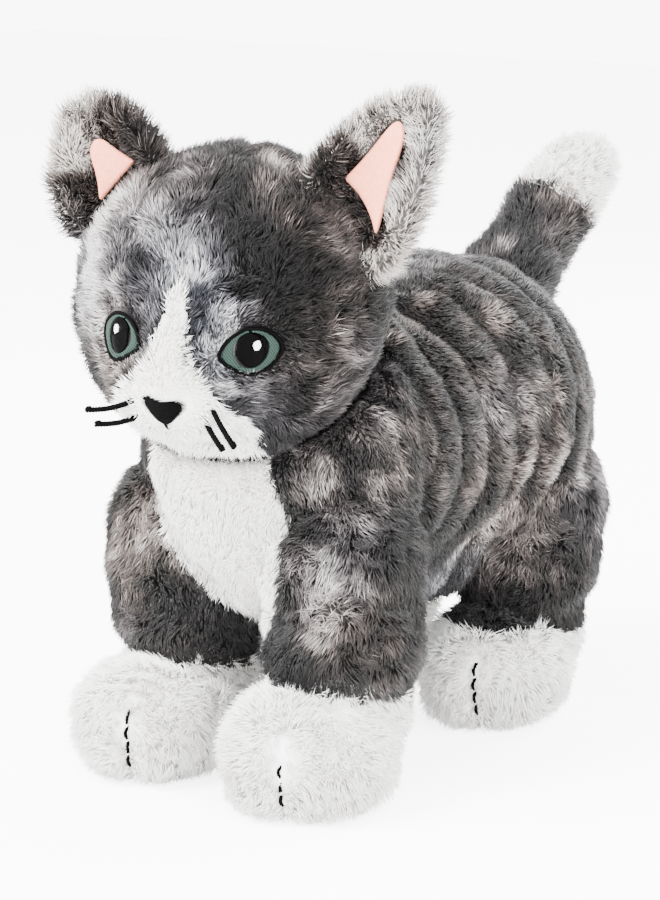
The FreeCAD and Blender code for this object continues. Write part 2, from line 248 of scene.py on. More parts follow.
# ---- signed distance grids
class Field:
    """Distances on a regular grid of voxel millimetres, negative inside."""

    def __init__(self, low, high, voxel, reach):
        self.voxel = voxel
        self.reach = reach
        self.first = np.floor((low - reach - 4 * voxel) / voxel).astype(int)
        self.shape = tuple(np.ceil((high + reach + 4 * voxel) / voxel).astype(int) - self.first + 1)
        self.transform = openvdb.createLinearTransform(voxelSize=voxel)

    def of_node(self, node):
        points, triangles = node_mesh(node)
        grid = openvdb.FloatGrid.createLevelSetFromPolygons(
            points.astype(np.float32), triangles=triangles.astype(np.uint32),
            transform=self.transform, halfWidth=self.reach / self.voxel)
        values = np.empty(self.shape, np.float32)
        grid.copyToArray(values, ijk=self.first.tolist())
        return values

    def to_quads(self, values):
        """Points and outward facing quads of the surface where the distance is 0."""
        grid = openvdb.FloatGrid(float(self.reach))
        grid.copyFromArray(values.astype(np.float32), ijk=self.first.tolist())
        grid.transform = self.transform
        points, quads = grid.convertToQuads(0.0)
        points, quads = points.astype(float), quads.astype(np.int32)
        lean = np.einsum("ij,ij->i", normals_of(points, quads), points - points.mean(0)).mean()
        return points, quads if lean > 0 else quads[:, ::-1]


def normals_of(points, faces):
    across = np.cross(points[faces[:, 2]] - points[faces[:, 0]],
                      points[faces[:, -1]] - points[faces[:, 1]])
    total = np.zeros_like(points)
    for corner in range(faces.shape[1]):
        np.add.at(total, faces[:, corner], across)
    return unit(total, 1e-9)


def melt(first, second, radius):
    """Union of two distance fields with a soft valley of the given radius."""
    close = np.maximum(radius - np.abs(first - second), 0) / radius
    return np.minimum(first, second) - close * close * radius / 4


def soften(values, passes):
    for axis in list(range(3)) * passes:
        values = (np.roll(values, 1, axis) + np.roll(values, -1, axis) + 2 * values) / 4
    return values


# ---- skins
SOLE_LEVEL = 1.2  # the underside of the soles
FINE_VOXEL = 2.2  # grid of the visible skin
CLOTH_VOXEL = 5.0  # grid of the cloth that is simulated
EAR_VOXEL = 1.25
SKIN_GROW = 0.8  # the cloth lies this far outside the filling
MELT = 13.0  # how softly torso, legs and tail run into each other
BODY_FILLINGS = ["torso_stuffing", "tail_stuffing", "tail_root_stuffing"]
BODY_FILLINGS += ["leg_%s_stuffing" % leg for leg in LEGS]
HEAD_FILLINGS = ["head_stuffing", "neck_stuffing"]


def skin_over(nodes, voxel, melting):
    """One soft closed skin over several fillings."""
    lows, highs = zip(*[low_high(node) for node in nodes])
    field = Field(np.min(lows, 0), np.max(highs, 0), voxel, melting + 4.0)
    total = field.of_node(nodes[0])
    for node in nodes[1:]:
        total = melt(total, field.of_node(node), melting)
    return field.to_quads(soften(total - SKIN_GROW, 1))


def ear_skin(side):
    """Soft cupped ear whose root reaches down into the head."""
    node = "ear_%s_back" % side
    low, high = low_high(node)
    field = Field(low - 9.0, high + 9.0, EAR_VOXEL, 6.0)
    total = shell = field.of_node(node)
    inward = unit(HEAD_CENTRE - EAR_BASE[side])
    for step in range(1, 4):
        shift = np.round(inward * step * 2.4 / field.voxel).astype(int)
        total = np.minimum(total, np.roll(shell, tuple(shift), (0, 1, 2)))
    return field.to_quads(soften(total + 0.5, 2))


# ---- sewn cloth: simulated puff, then the folds of worn plush
BIB_CENTRE_Z = 117.0
BIB_HALF = np.array([31.5, 55.0])
BIB_TILT = 0.15  # how far the bib runs over to the left towards its foot
BIB_BACK_Y = low_high("chest_bib")[1][1]


def parted(points):
    """Places beside the spine, along the toy and upwards."""
    return points[:, 0] - SPINE_X, points[:, 1], points[:, 2]


def bib_reach(points):
    """1 on the edge of the white bib, less inside it."""
    x, y, z = parted(points)
    reach = np.hypot((x - BIB_TILT * (BIB_CENTRE_Z - z)) / BIB_HALF[0], (z - BIB_CENTRE_Z) / BIB_HALF[1])
    return np.where(y < BIB_BACK_Y, reach, 9.0)


def body_seams(points):
    """1 on the seams that hold the body's cloth, 0 away from them."""
    x, y, z = parted(points)
    spine = smooth(np.abs(x), 6.0, 1.0) * smooth(z, 120.0, 140.0)
    bib = smooth(np.abs(bib_reach(points) - 1.0), 0.13, 0.03)
    tail = smooth((points - TAIL_ROOT) @ TAIL_ALONG, -4.0, 2.0)
    return np.maximum.reduce([spine, bib, smooth(z, 12.0, 6.0), tail])


def head_seams(points):
    x, y, z = in_head(points).T
    middle_line = smooth(np.abs(x), 6.0, 2.0) * smooth(z, 8.0, 16.0)
    crown = smooth(np.abs(y - 4.0), 6.0, 2.0)
    face = smooth(y, -30.0, -46.0) * smooth(z, 16.0, 0.0)
    return np.maximum.reduce([middle_line, crown, face])


CLOTH_FRAMES = 14
MOST_PUFF = 2.4  # the filling's twine keeps the cloth within this of the pattern
CLOTH_SETTINGS = {
    "quality": 6, "mass": 0.2, "tension_stiffness": 15.0, "compression_stiffness": 15.0,
    "shear_stiffness": 5.0, "bending_stiffness": 0.05, "air_damping": 5.0, "shrink_min": -0.07,
    "use_pressure": True, "uniform_pressure_force": 3.0, "vertex_group_mass": "seams"}


def settle(points, quads, seams):
    """How far cloth with a little ease moves, sewn down at its seams and pushed out by the filling."""
    mesh = make_mesh("settling_cloth", points, quads)
    made = add_object("settling_cloth", mesh)
    group = made.vertex_groups.new(name="seams")
    for index, weight in enumerate(seams.tolist()):
        if weight > 0.02:
            group.add([index], weight, "REPLACE")
    modifier = made.modifiers.new("cloth", "CLOTH")
    set_all(modifier.settings, CLOTH_SETTINGS)
    modifier.settings.effector_weights.gravity = 0.0
    modifier.point_cache.frame_end = CLOTH_FRAMES
    scene = bpy.context.scene
    for number in range(1, CLOTH_FRAMES + 1):
        scene.frame_set(number)
    seen = made.evaluated_get(bpy.context.evaluated_depsgraph_get())
    moved = mesh_arrays(seen.data) - points
    bpy.data.objects.remove(made)
    bpy.data.meshes.remove(mesh)
    scene.frame_set(1)
    far = np.linalg.norm(moved, axis=1, keepdims=True)
    return moved * np.minimum(1, MOST_PUFF / np.maximum(far, 1e-6))


def carried(points, coarse, moved):
    """Moves of a coarse cloth carried over to the points of a fine one."""
    tree = KDTree(len(coarse))
    for index, place in enumerate(coarse.tolist()):
        tree.insert(place, index)
    tree.balance()
    total = np.empty_like(points)
    for index, place in enumerate(points.tolist()):
        found = tree.find_n(place, 6)
        weights = np.array([1.0 / (0.6 + entry[2]) ** 2 for entry in found])
        total[index] = weights @ moved[[entry[1] for entry in found]] / weights.sum()
    return total


FOLD_PITCH = 19.0  # from one flank fold to the next
FOLD_DEPTH = 5.2
BELLY_SAG = 10.0
TAIL_SLANT = np.array([0.10, 0.16, 0.0])  # the tail's soft lean to the left and back
TAIL_PUFF = 2.6


def flank_folds(points):
    """The soft upright folds of the flanks: 0 on their crests, 1 in the creases."""
    bow = 9.0 * ((points[:, 2] - 158.0) / 45.0) ** 2
    wander = noise(points, 34.0, 41) * 3.5
    place = (points[:, 1] - 14.0 + bow + wander) / FOLD_PITCH
    return 1 - np.abs(np.cos(math.pi * place)) ** 0.55


def flank_mask(points):
    """1 on the flanks, 0 on chest, legs, spine and rump."""
    x, y, z = parted(points)
    area = smooth(np.abs(x), 8.0, 34.0) * between(y, -52.0, -34.0, 60.0, 92.0) * smooth(z, 84.0, 108.0)
    return area * np.clip(0.65 + 0.45 * noise(points, 40.0, 43), 0.7, 1)


def haunch_crease(points):
    """Crease that runs down and forwards in front of each thigh."""
    x, y, z = parted(points)
    line = 34.0 - 20.0 * smooth(z, 128.0, 84.0)
    return ridge(y - line, 4.5) * smooth(np.abs(x), 20.0, 40.0) * between(z, 60.0, 80.0, 128.0, 150.0)


def shoulder_crease(points):
    x, y, z = parted(points)
    line = -36.0 - 5.0 * np.sin((z - 95.0) / 80.0 * math.pi)
    return ridge(y - line, 4.0) * smooth(np.abs(x), 22.0, 42.0) * between(z, 84.0, 100.0, 165.0, 190.0)


def toe_line(points, width=3.4):
    """How near each point is to the stitched line between two toes."""
    total = np.zeros(len(points))
    for leg in LEGS:
        low, high = low_high(TOE_NODE + leg)
        centre, across, out = TOES[leg]
        level = between(points[:, 2], low[2] - 6, low[2], high[2], high[2] + 8)
        ahead = smooth((points - centre) @ out, -16.0, -8.0)
        total += ridge((points - centre) @ across, width) * ahead * level
    return total


def leg_rumples(points):
    """Soft wrinkles where the legs bend and where the grey cloth meets the paws."""
    z = points[:, 2]
    wave = np.sin((z + noise(points, 26.0, 51) * 7.0) / 6.2)
    return between(z, 40.0, 52.0, 80.0, 100.0) * (0.5 + 0.5 * wave) * (0.5 + 0.5 * noise(points, 22.0, 52))


def tail_place(points):
    """Millimetres along the tail from its root, far below 0 on the rest of the body."""
    along = (points - TAIL_ROOT) @ TAIL_ALONG
    beside = np.linalg.norm(points - TAIL_ROOT - np.outer(along, TAIL_ALONG), axis=1)
    return np.where(beside < 40.0, along, -99.0)


def shape_body(points, quads):
    """Body skin with its folds, creases and toe lines, drawn-in paws, thick tail and sagging belly."""
    x, y, z = parted(points)
    normals = normals_of(points, quads)
    push = (1.2 - FOLD_DEPTH * flank_folds(points)) * flank_mask(points)
    push -= 3.4 * haunch_crease(points) + 3.2 * shoulder_crease(points)
    push -= 3.0 * toe_line(points) + 1.8 * leg_rumples(points)
    push += noise(points, 20.0, 45) * 0.5 - 1.3 * ridge(x, 3.0) * smooth(z, 130.0, 150.0)
    under = smooth(normals[:, 2], -0.4, -0.8) * smooth(z, 16.0, 8.0)
    push -= (3.4 + 2.2 * smooth(y, -70.0, -110.0)) * smooth(z, 58.0, 44.0) * (1 - under)
    push += TAIL_PUFF * between(tail_place(points), -6.0, 14.0, 44.0, 62.0)
    push += 3.5 * smooth(np.linalg.norm(points - HEAD_CENTRE, axis=1), 86.0, 74.0)
    points = points + normals * push[:, None]
    x, y, z = parted(points)
    belly = smooth(np.abs(x), 46.0, 30.0) * smooth(normals[:, 2], -0.2, -0.8)
    points[:, 2] -= BELLY_SAG * belly * between(y, -60.0, -40.0, 30.0, 52.0) * smooth(z, 40.0, 56.0)
    return points + np.outer(np.maximum(tail_place(points) - 6.0, 0.0), TAIL_SLANT)


def shape_head(points, quads):
    """Head skin with full cheeks, sunk eye corners and its crown seam."""
    local = in_head(points)
    x, y, z = local.T
    push = noise(points, 24.0, 46) * 0.7
    for side in (local, local * [-1, 1, 1]):
        push += 2.6 * bump(side, (14, -56, -36), (14, 22, 12)) - 1.4 * bump(side, (13, -60, -12), (7, 16, 8))
    push -= 1.2 * ridge(y - 4.0, 3.0) * smooth(z, 0.0, 20.0) + 2.0 * bump(local, (0, -60, -40), (3, 20, 8))
    push += 5.2 * bump(local, (0, -58, -8), (8, 18, 22))
    push += 2.5 * smooth(z, -26.0, -50.0) * smooth(y, -44.0, -20.0)
    return points + normals_of(points, quads) * push[:, None]


def sewn_skin(nodes, melting, seams, shape):
    """Visible skin of a sewn part, with its folds and the puff of the simulated cloth."""
    points, quads = skin_over(nodes, FINE_VOXEL, melting)
    coarse, coarse_quads = skin_over(nodes, CLOTH_VOXEL, melting)
    points = points + carried(points, coarse, settle(coarse, coarse_quads, seams(coarse)))
    points = shape(points, quads)
    points[:, 2] = np.maximum(points[:, 2], SOLE_LEVEL)
    return points, quads


# ---- panels: which cover each place of a skin belongs to
BODY_COVERS = ["torso_cover_left", "torso_cover_right", "chest_bib", "belly_panel", "tail_cover",
               "tail_tip_cover"]
for leg_name in LEGS:
    BODY_COVERS += ["leg_%s_cover" % leg_name, "paw_%s_cover" % leg_name, "paw_%s_sole" % leg_name]
HEAD_COVERS = ["head_cover_left", "head_cover_right", "head_back_panel", "face_blaze"]


EYE_SHIFT = {"left": 2.0, "right": 4.5}  # each eye sits this much further to the cat's left
EYE_WIDTH = {"left": 1.0, "right": 0.84}  # and the far one is sewn a little narrower
NOSE_SIZE = (1.15, 0.86)  # the sewn nose is wider and lower than its pattern


def embroidered(node, points):
    """Points of an embroidery node where the thread really lies on the soft face."""
    if node == "nose_embroidery":
        local = points - NOSE
        return (points + np.outer(local @ HEAD_X, HEAD_X) * (NOSE_SIZE[0] - 1)
                + np.outer(local @ HEAD_Z, HEAD_Z) * (NOSE_SIZE[1] - 1))
    side = next((side for side in SIDES if node.startswith("eye_" + side)), None)
    if side is None:
        return points
    beside = (points - middle("eye_%s_pupil" % side)) @ HEAD_X
    return points + np.outer(EYE_SHIFT[side] + beside * (EYE_WIDTH[side] - 1), HEAD_X)


def cover_tree(nodes):
    """Tree of the nodes' triangles, and the number of the node that each triangle is of."""
    parts = [node_mesh(node) for node in nodes]
    parts = [(embroidered(node, points), triangles) for node, (points, triangles) in zip(nodes, parts)]
    points, triangles = joined(parts)
    owner = np.repeat(np.arange(len(nodes)), [len(part[1]) for part in parts])
    return BVHTree.FromPolygons(points.tolist(), triangles.tolist()), owner


def nearest_cover(nodes):
    """A rule that finds the number of the node that lies nearest to each point."""
    tree, owner = cover_tree(nodes)
    return lambda points: owner[[tree.find_nearest(place)[2] for place in points.tolist()]]


NEAREST_BODY_COVER = nearest_cover(BODY_COVERS)
NEAREST_HEAD_COVER = nearest_cover(HEAD_COVERS)
PAW_HEM = {"front": 46.0, "hind": 40.0}  # height of the seam between leg and paw
HEM_SLOPE = 0.10


def body_owner(points):
    """The nearest cover, but with the bib's own rounded outline, low paw hems and round soles."""
    number = BODY_COVERS.index
    owner = NEAREST_BODY_COVER(points)
    inside = bib_reach(points) < 1.0
    flank = np.where(points[:, 0] > SPINE_X, 0, 1)
    owner = np.where((owner == number("chest_bib")) & ~inside, flank, owner)
    for leg in LEGS:
        hem = PAW_HEM[leg.split("_")[0]] + (PAW[leg][1] - points[:, 1]) * HEM_SLOPE
        above = (owner == number("paw_%s_cover" % leg)) & (points[:, 2] > hem)
        owner = np.where(above, number("leg_%s_cover" % leg), owner)
        low, high = low_high("paw_%s_sole" % leg)
        reach = np.linalg.norm(((points - PAW[leg]) / (high - low) * 2)[:, :2], axis=1)
        on_sole = (reach < 1.0) & (points[:, 2] < high[2] + 3.0)
        owner = np.where(on_sole, number("paw_%s_sole" % leg), owner)
    return np.where(inside, number("chest_bib"), owner)


# half width of the blaze's roots against height in the head; its pile spreads a little wider
BLAZE_HEIGHTS = (-60.0, -45.0, -34.0, -27.0, -20.0, -12.0, -2.0, 10.0, 16.0)
BLAZE_HALVES = (24.0, 25.0, 22.0, 19.0, 13.0, 6.0, 5.0, 3.0, 0.0)


def head_owner(points):
    """The nearest cover, but with the blaze drawn in narrow between the eyes."""
    owner = NEAREST_HEAD_COVER(points)
    x, y, z = in_head(points).T
    beside = np.abs(x) > np.interp(z, BLAZE_HEIGHTS, BLAZE_HALVES)
    return np.where((owner == HEAD_COVERS.index("face_blaze")) & beside, np.where(x > 0, 0, 1), owner)


CLOTH = 1.0  # thickness of the backing cloth


def thick_sheet(points, normals, quads):
    """Closed thin sheet: the panel of these quads, its inner side and a rim round every open edge."""
    used, inverse = np.unique(quads, return_inverse=True)
    quads = inverse.reshape(quads.shape)
    count = len(used)
    edges = dict.fromkeys(zip(quads.T.ravel().tolist(), np.roll(quads, -1, 1).T.ravel().tolist()))
    rim = [(end, start, start + count, end + count) for start, end in edges if (end, start) not in edges]
    rim = np.array(rim, int).reshape(-1, 4)
    both = np.concatenate([points[used], points[used] - normals[used] * CLOTH])
    return both, np.concatenate([quads, quads[:, ::-1] + count, rim])


# ---- fur
# How one kind of plush grows: strands per square millimetre, their length and thickness, how flat
# they lie from 0 to 1, the random spread of single strands and of whole tufts, the millimetres that
# tips are drawn together into tufts, and the droop.
Pile = namedtuple("Pile", "density length width lean mess clump gather droop", defaults=[0.0])
FLANK = Pile(2.0, 4.8, 0.44, 0.72, 0.14, 0.26, 0.8)
LEG = Pile(2.0, 6.4, 0.46, 0.58, 0.18, 0.36, 1.1)
FACE = Pile(2.0, 6.0, 0.44, 0.60, 0.16, 0.36, 1.2)
MUZZLE = Pile(2.0, 5.0, 0.44, 0.48, 0.24, 0.34, 1.0)
BIB = Pile(2.0, 4.8, 0.46, 0.54, 0.22, 0.30, 0.9)
LONG = Pile(1.7, 7.2, 0.46, 0.40, 0.30, 0.50, 1.7, 0.08)
EAR = Pile(2.0, 7.8, 0.44, 0.40, 0.22, 0.34, 1.1)
TAIL = Pile(1.9, 7.6, 0.46, 0.54, 0.20, 0.34, 1.4)
THICKEST = 2.0  # strands per square millimetre where the pile is densest

STRAND_FACES = np.array([[0, 2, 1], [0, 3, 2], [0, 1, 3], [4, 1, 2], [4, 2, 3], [4, 3, 1]])
FLOOR_CLEAR = 0.2  # the pile keeps this far above the floor
ROOT_DEPTH = 0.8  # the roots start this far inside the cloth


def scatter(points, normals, quads, density, rng):
    """Even random roots on the quads, with their normals."""
    tris = np.concatenate([quads[:, [0, 1, 2]], quads[:, [0, 2, 3]]])
    a, b, c = points[tris].swapaxes(0, 1)
    area = 0.5 * np.linalg.norm(np.cross(b - a, c - a), axis=1)
    wanted = np.floor(area * density + rng.random(len(tris))).astype(int)
    picked = np.repeat(tris, wanted, axis=0)
    u = rng.random(len(picked))
    v = rng.random(len(picked))
    flip = u + v > 1
    u[flip], v[flip] = 1 - u[flip], 1 - v[flip]
    shares = np.stack([1 - u - v, u, v], 1)[:, :, None]
    return (points[picked] * shares).sum(1), unit((normals[picked] * shares).sum(1))


def along_surface(vectors, normals):
    """The part of each vector that lies along the surface."""
    return vectors - normals * np.einsum("ij,ij->i", vectors, normals)[:, None]


def flat_way(vectors, normals):
    return unit(along_surface(vectors, normals), 1e-6)


def tuft_push(roots, scale, seed):
    return np.stack([noise(roots, scale, seed + k, 20) for k in range(3)], 1)


def tuft_pull(roots, scale, seed, waves=26):
    """Sideways pull that gathers strands into tufts about scale millimetres apart."""
    total = np.zeros_like(roots)
    for turn, phase in random_waves(seed, waves, 0.8, 1.25, 5.0 / scale):
        total += np.sin(roots @ turn + phase)[:, None] * unit(turn)
    return total * math.sqrt(2.0 / waves)


def tilted(ups, comb, lean):
    """Ways from upright, at lean 0, to combed flat, at lean 1."""
    turn = (lean * math.pi / 2)[:, None]
    return ups * np.cos(turn) + comb * np.sin(turn)


def grow(roots, ups, comb, pile, length, rng, seed):
    """Closed strands: a root, a middle ring of three points and a tip. Returns their points."""
    count = len(roots)
    push = (tuft_push(roots, 9.0, seed) + tuft_push(roots, 3.0, seed + 9) * 0.6) * pile.clump
    push += rng.normal(size=(count, 3)) * pile.mess
    spread = flat_way(push, ups) * np.linalg.norm(push, axis=1, keepdims=True)
    comb = flat_way(flat_way(comb, ups) + spread, ups)
    lean = pile.lean + noise(roots, 8.0, seed + 20) * 0.10 + rng.normal(size=count) * 0.06
    lean = np.clip(lean, 0.05, 0.93)
    reach = (length * (0.70 + 0.5 * rng.random(count)))[:, None]
    root = roots - ups * ROOT_DEPTH
    mid = roots + unit(tilted(ups, comb, lean * 0.6)) * reach * 0.48
    end_way = tilted(ups, comb, np.clip(lean * 1.15, 0, 0.97)) - [0, 0, pile.droop]
    tip = mid + unit(end_way) * reach * 0.58
    pull = along_surface(tuft_pull(roots, 5.0, seed + 30) * pile.gather, ups)
    mid = mid + pull * 0.45
    tip = tip + pull
    across = unit(np.cross(tip - root, rng.normal(size=(count, 3))))
    other = unit(np.cross(tip - root, across))
    radius = (pile.width * (0.75 + 0.5 * rng.random(count)) / 2)[:, None]
    turns = 2 * math.pi * np.arange(3) / 3
    ring = [mid + (across * math.cos(turn) + other * math.sin(turn)) * radius for turn in turns]
    strands = np.stack([root, *ring, tip], 1)
    strands[:, :, 2] = np.maximum(strands[:, :, 2], FLOOR_CLEAR)
    return strands


def atlas(mesh, cells, cell_of_loop, spot_of_loop):
    """Gives every strand and every patch of cloth its own small cell of the unwrapped square."""
    side = math.ceil(math.sqrt(cells))
    cell = np.stack([cell_of_loop % side, cell_of_loop // side], 1)
    layer = mesh.uv_layers.new(name="OFBake")
    layer.data.foreach_set("uv", ((cell + 0.15 + 0.7 * spot_of_loop) / side).astype(np.float32).ravel())


STRAND_SPOTS = np.array([(0.5, 0.0), (0.0, 0.5), (1.0, 0.5), (0.5, 0.5), (0.5, 1.0)])
CELL_SPOTS = np.array([(0, 0), (1, 0), (1, 1), (0, 1)], float)
STRAND_PLACES = [0.0, 0.5, 0.5, 0.5, 1.0]
MOST_STRANDS = 32000  # strands in one pile piece


def pile_objects(name, strands, tone, tint, material):
    """The pile of one panel, in pieces of at most MOST_STRANDS strands, cut along the toy's length."""
    order = np.argsort(strands[:, 0, 1], kind="stable")
    parts = np.array_split(order, max(1, math.ceil(len(order) / MOST_STRANDS)))
    made = []
    for number, part in enumerate(parts):
        count = len(part)
        corners = (np.arange(count)[:, None, None] * 5 + STRAND_FACES).ravel()
        label = name if len(parts) == 1 else "%s_%d" % (name, number + 1)
        pile = piece(label, strands[part].reshape(-1, 3), corners.reshape(-1, 3), material,
                     along=np.tile(STRAND_PLACES, count), tone=np.repeat(tone[part], 5),
                     tint=np.repeat(tint[part], 5))
        atlas(pile.data, count, corners // 5, STRAND_SPOTS[corners % 5])
        made.append(pile)
    return made


# ---- materials
def plug(node, inputs):
    """Gives a shader node's inputs their links and values."""
    for key, value in inputs.items():
        if isinstance(value, bpy.types.NodeSocket):
            node.id_data.links.new(value, node.inputs[key])
        else:
            node.inputs[key].default_value = value


def add(tree, kind, inputs=None, **settings):
    node = tree.nodes.new(kind)
    set_all(node, settings)
    plug(node, inputs or {})
    return node


def new_material(name):
    made = bpy.data.materials.new(name)
    made.use_nodes = True
    return made, made.node_tree


def finish(material, colour, roughness, sheen=0.0, shine=0.2):
    plug(material.node_tree.nodes["Principled BSDF"], {
        "Base Color": colour, "Roughness": roughness, "Sheen Weight": sheen, "Sheen Roughness": 0.4,
        "Specular IOR Level": shine})
    return material


def rgb(hex_colour):
    """Linear colour of a six-digit screen colour."""
    values = [int(hex_colour[k:k + 2], 16) / 255 for k in (0, 2, 4)]
    linear = [v / 12.92 if v <= 0.04045 else ((v + 0.055) / 1.055) ** 2.4 for v in values]
    return (*linear, 1.0)


def ramp(tree, factor, stops):
    node = add(tree, "ShaderNodeValToRGB", {"Fac": factor})
    elements = node.color_ramp.elements
    while len(elements) < len(stops):
        elements.new(0.5)
    for element, (place, colour) in zip(elements, stops):
        element.position = place
        element.color = rgb(colour)
    return node.outputs["Color"]


def attribute(tree, name):
    return add(tree, "ShaderNodeAttribute", attribute_name=name).outputs["Fac"]


WARM_STOPS = [(0.0, "040303"), (0.25, "110e0c"), (0.5, "2b2422"), (0.75, "635a56"), (1.0, "aea8a3")]
COOL_STOPS = [(0.0, "030304"), (0.25, "0e0f13"), (0.5, "27282e"), (0.75, "5e6066"), (1.0, "a8a9ad")]
WHITE_STOPS = [(0.0, "bdb6b0"), (0.5, "eae6e2"), (1.0, "fffefc")]


def plush_material(name, white=False, tip_gain=1.5, root_shade=0.45, shine=0.2, roughness=0.5):
    """Pile whose strands carry painted shade at the root and are lighter at the tip, partly silver tipping
    and partly painted sheen, mottled by its tone.
    """
    made, tree = new_material(name)
    fine = add(tree, "ShaderNodeTexNoise", {"Scale": 260.0, "Detail": 2.0}).outputs["Fac"]
    tone = add(tree, "ShaderNodeMath", {0: fine, 1: 0.10, 2: attribute(tree, "tone")},
               operation="MULTIPLY_ADD").outputs[0]
    if white:
        colour = ramp(tree, tone, WHITE_STOPS)
    else:
        colour = add(tree, "ShaderNodeMix", {0: attribute(tree, "tint"), 6: ramp(tree, tone, WARM_STOPS),
                                             7: ramp(tree, tone, COOL_STOPS)}, data_type="RGBA").outputs[2]
    # painted shade: root_shade darkens each strand's root; tip_gain lightens its tip, partly silver tipping
    # and partly painted sheen
    shade = add(tree, "ShaderNodeMapRange", {0: attribute(tree, "along"), 1: 0.0, 2: 1.0, 3: root_shade,
                                             4: tip_gain}).outputs[0]
    lit = add(tree, "ShaderNodeVectorMath", {0: colour, "Scale": shade}, operation="SCALE")
    return finish(made, lit.outputs[0], roughness, 0.04, shine)


def thread_material(name, dark, light, shine=0.12):
    """Twisted shiny thread with fine diagonal light and dark plies."""
    made, tree = new_material(name)
    place = add(tree, "ShaderNodeTexCoord").outputs["Object"]
    plies = add(tree, "ShaderNodeTexWave", {"Vector": place, "Scale": 420.0, "Distortion": 1.5},
                bands_direction="DIAGONAL")
    return finish(made, ramp(tree, plies.outputs["Fac"], [(0.0, dark), (1.0, light)]), 0.5, 0.0, shine)


def cloth_material(name, dark, light, scale):
    """Soft cloth: cloudy shade with a fine fibrous speckle."""
    made, tree = new_material(name)
    place = add(tree, "ShaderNodeTexCoord").outputs["Object"]
    cloud = add(tree, "ShaderNodeTexNoise", {"Vector": place, "Scale": scale, "Detail": 6.0,
                                             "Roughness": 0.7})
    return finish(made, ramp(tree, cloud.outputs["Fac"], [(0.3, dark), (0.7, light)]), 0.9, 0.08, 0.1)


# root_shade is painted shade at the strand roots; tip_gain gives lighter tips, partly silver tipping and
# partly painted sheen
GREY_FACE = plush_material("grey_face_plush", tip_gain=1.6, root_shade=0.4)
GREY_EAR = plush_material("grey_ear_plush", tip_gain=1.5, root_shade=0.8)
GREY_BODY = plush_material("grey_body_plush", tip_gain=1.8, root_shade=0.3, shine=0.4, roughness=0.36)
WHITE = plush_material("white_plush", white=True, tip_gain=1.02, root_shade=0.76, roughness=0.7)
SMOOTH_WHITE = plush_material("smooth_white_plush", white=True, tip_gain=1.04, root_shade=0.95,
                              roughness=0.8)
# the backing cloth has no along values, so root_shade darkens all of it: painted shade under the pile
GREY_CLOTH = plush_material("grey_backing_cloth", root_shade=0.3, shine=0.1, roughness=0.9)
WHITE_CLOTH = cloth_material("white_backing_cloth", "e6e2de", "f6f4f1", 900.0)
BLACK_THREAD = thread_material("black_thread", "000000", "020202", shine=0.03)
IRIS_THREAD = thread_material("iris_thread", "111b18", "283b34")
WHITE_THREAD = thread_material("white_thread", "dfe3e2", "ffffff")
PINK = cloth_material("pink_fleece", "e2896f", "f8a086", 700.0)
FIBRE = cloth_material("filling_fibre", "d8d8d6", "f6f6f4", 160.0)


# ---- mottling
def mottle(points, seed, patchy=0.18):
    """Cloudy dye of the grey plush: broad patches, streaks and flecks."""
    streaked = points * [1.0, 1.0, 0.7]
    broad = noise(streaked, 26.0, seed) * 0.14 + noise(streaked, 11.0, seed + 1) * patchy
    return 0.52 + broad + noise(points, 4.5, seed + 2) * 0.10


def tint_of(points):
    """How cool the grey is, from 0 to 1."""
    return np.clip(0.26 + noise(points, 30.0, 12) * 0.26, 0, 1)


# dark and light patches of the face in the head's own frame: place, size, change of tone
FACE_PATCHES = [
    ((14, -49, 34), (12, 16, 13), -0.26), ((40, -42, 18), (15, 18, 10), -0.30),
    ((9, -38, 46), (10, 14, 10), -0.14), ((40, -38, -29), (13, 16, 9), -0.28),
    ((10, -58, 6), (4, 12, 9), -0.22), ((29, -31, -43), (7, 14, 6), -0.14),
    ((-26, -46, 30), (14, 16, 16), 0.20), ((-10, -50, 30), (5, 14, 14), -0.16),
    ((-14, -54, 10), (6, 12, 8), -0.20), ((-38, -44, 12), (9, 14, 10), 0.16),
    ((54, -28, -4), (14, 18, 10), 0.10), ((0, -26, 58), (22, 20, 10), 0.02),
    ((-38, -40, -14), (9, 12, 10), 0.18), ((26, -52, -24), (9, 12, 5), 0.18),
    ((30, -36, 42), (10, 14, 10), 0.12), ((24, -52, 8), (12, 12, 4), 0.10)]


def head_tone(points):
    local = in_head(points)
    tone = mottle(points, 101)
    for place, size, change in FACE_PATCHES:
        tone = tone + change * bump(local, place, size)
    cheeks = smooth(local[:, 2], -8.0, -26.0) * smooth(np.abs(local[:, 0]), 24.0, 38.0)
    return tone - 0.03 - 0.15 * cheeks


def body_tone(points):
    """Darker and warmer than the face, with painted shade in the folds, in the creases and under the belly,
    painted light on the fold crests, and a darker band above the paw hems.
    """
    x, y, z = parted(points)
    flank = flank_mask(points)
    tone = mottle(points, 201, 0.18 - 0.06 * flank) - 0.33
    tone += noise(points * [1.0, 1.0, 0.22], 5.0, 205) * 0.16 * smooth(z, 70.0, 100.0)
    # painted light on the flank fold crests, painted shade in their creases
    tone += (0.15 - 0.50 * flank_folds(points)) * flank
    # painted shade in the haunch and shoulder creases
    tone -= 0.15 * haunch_crease(points) + 0.15 * shoulder_crease(points)
    # painted shade low down under the belly and between the legs, and a darker band just above the paw hems
    tone -= 0.25 * smooth(z, 96.0, 60.0) * smooth(np.abs(x), 36.0, 16.0) + 0.10 * ridge(z - 50.0, 7.0)
    return np.where(tone > 0.5, 0.5 + (tone - 0.5) * 0.8, tone)


def tail_tone(points):
    """Dark, with faint bands round it."""
    return body_tone(points) - 0.07 + 0.09 * np.sin(tail_place(points) / 3.4)


def no_tone(points):
    return np.zeros(len(points))


def white_tone(points):
    return 0.86 + noise(points, 12.0, 77) * 0.08


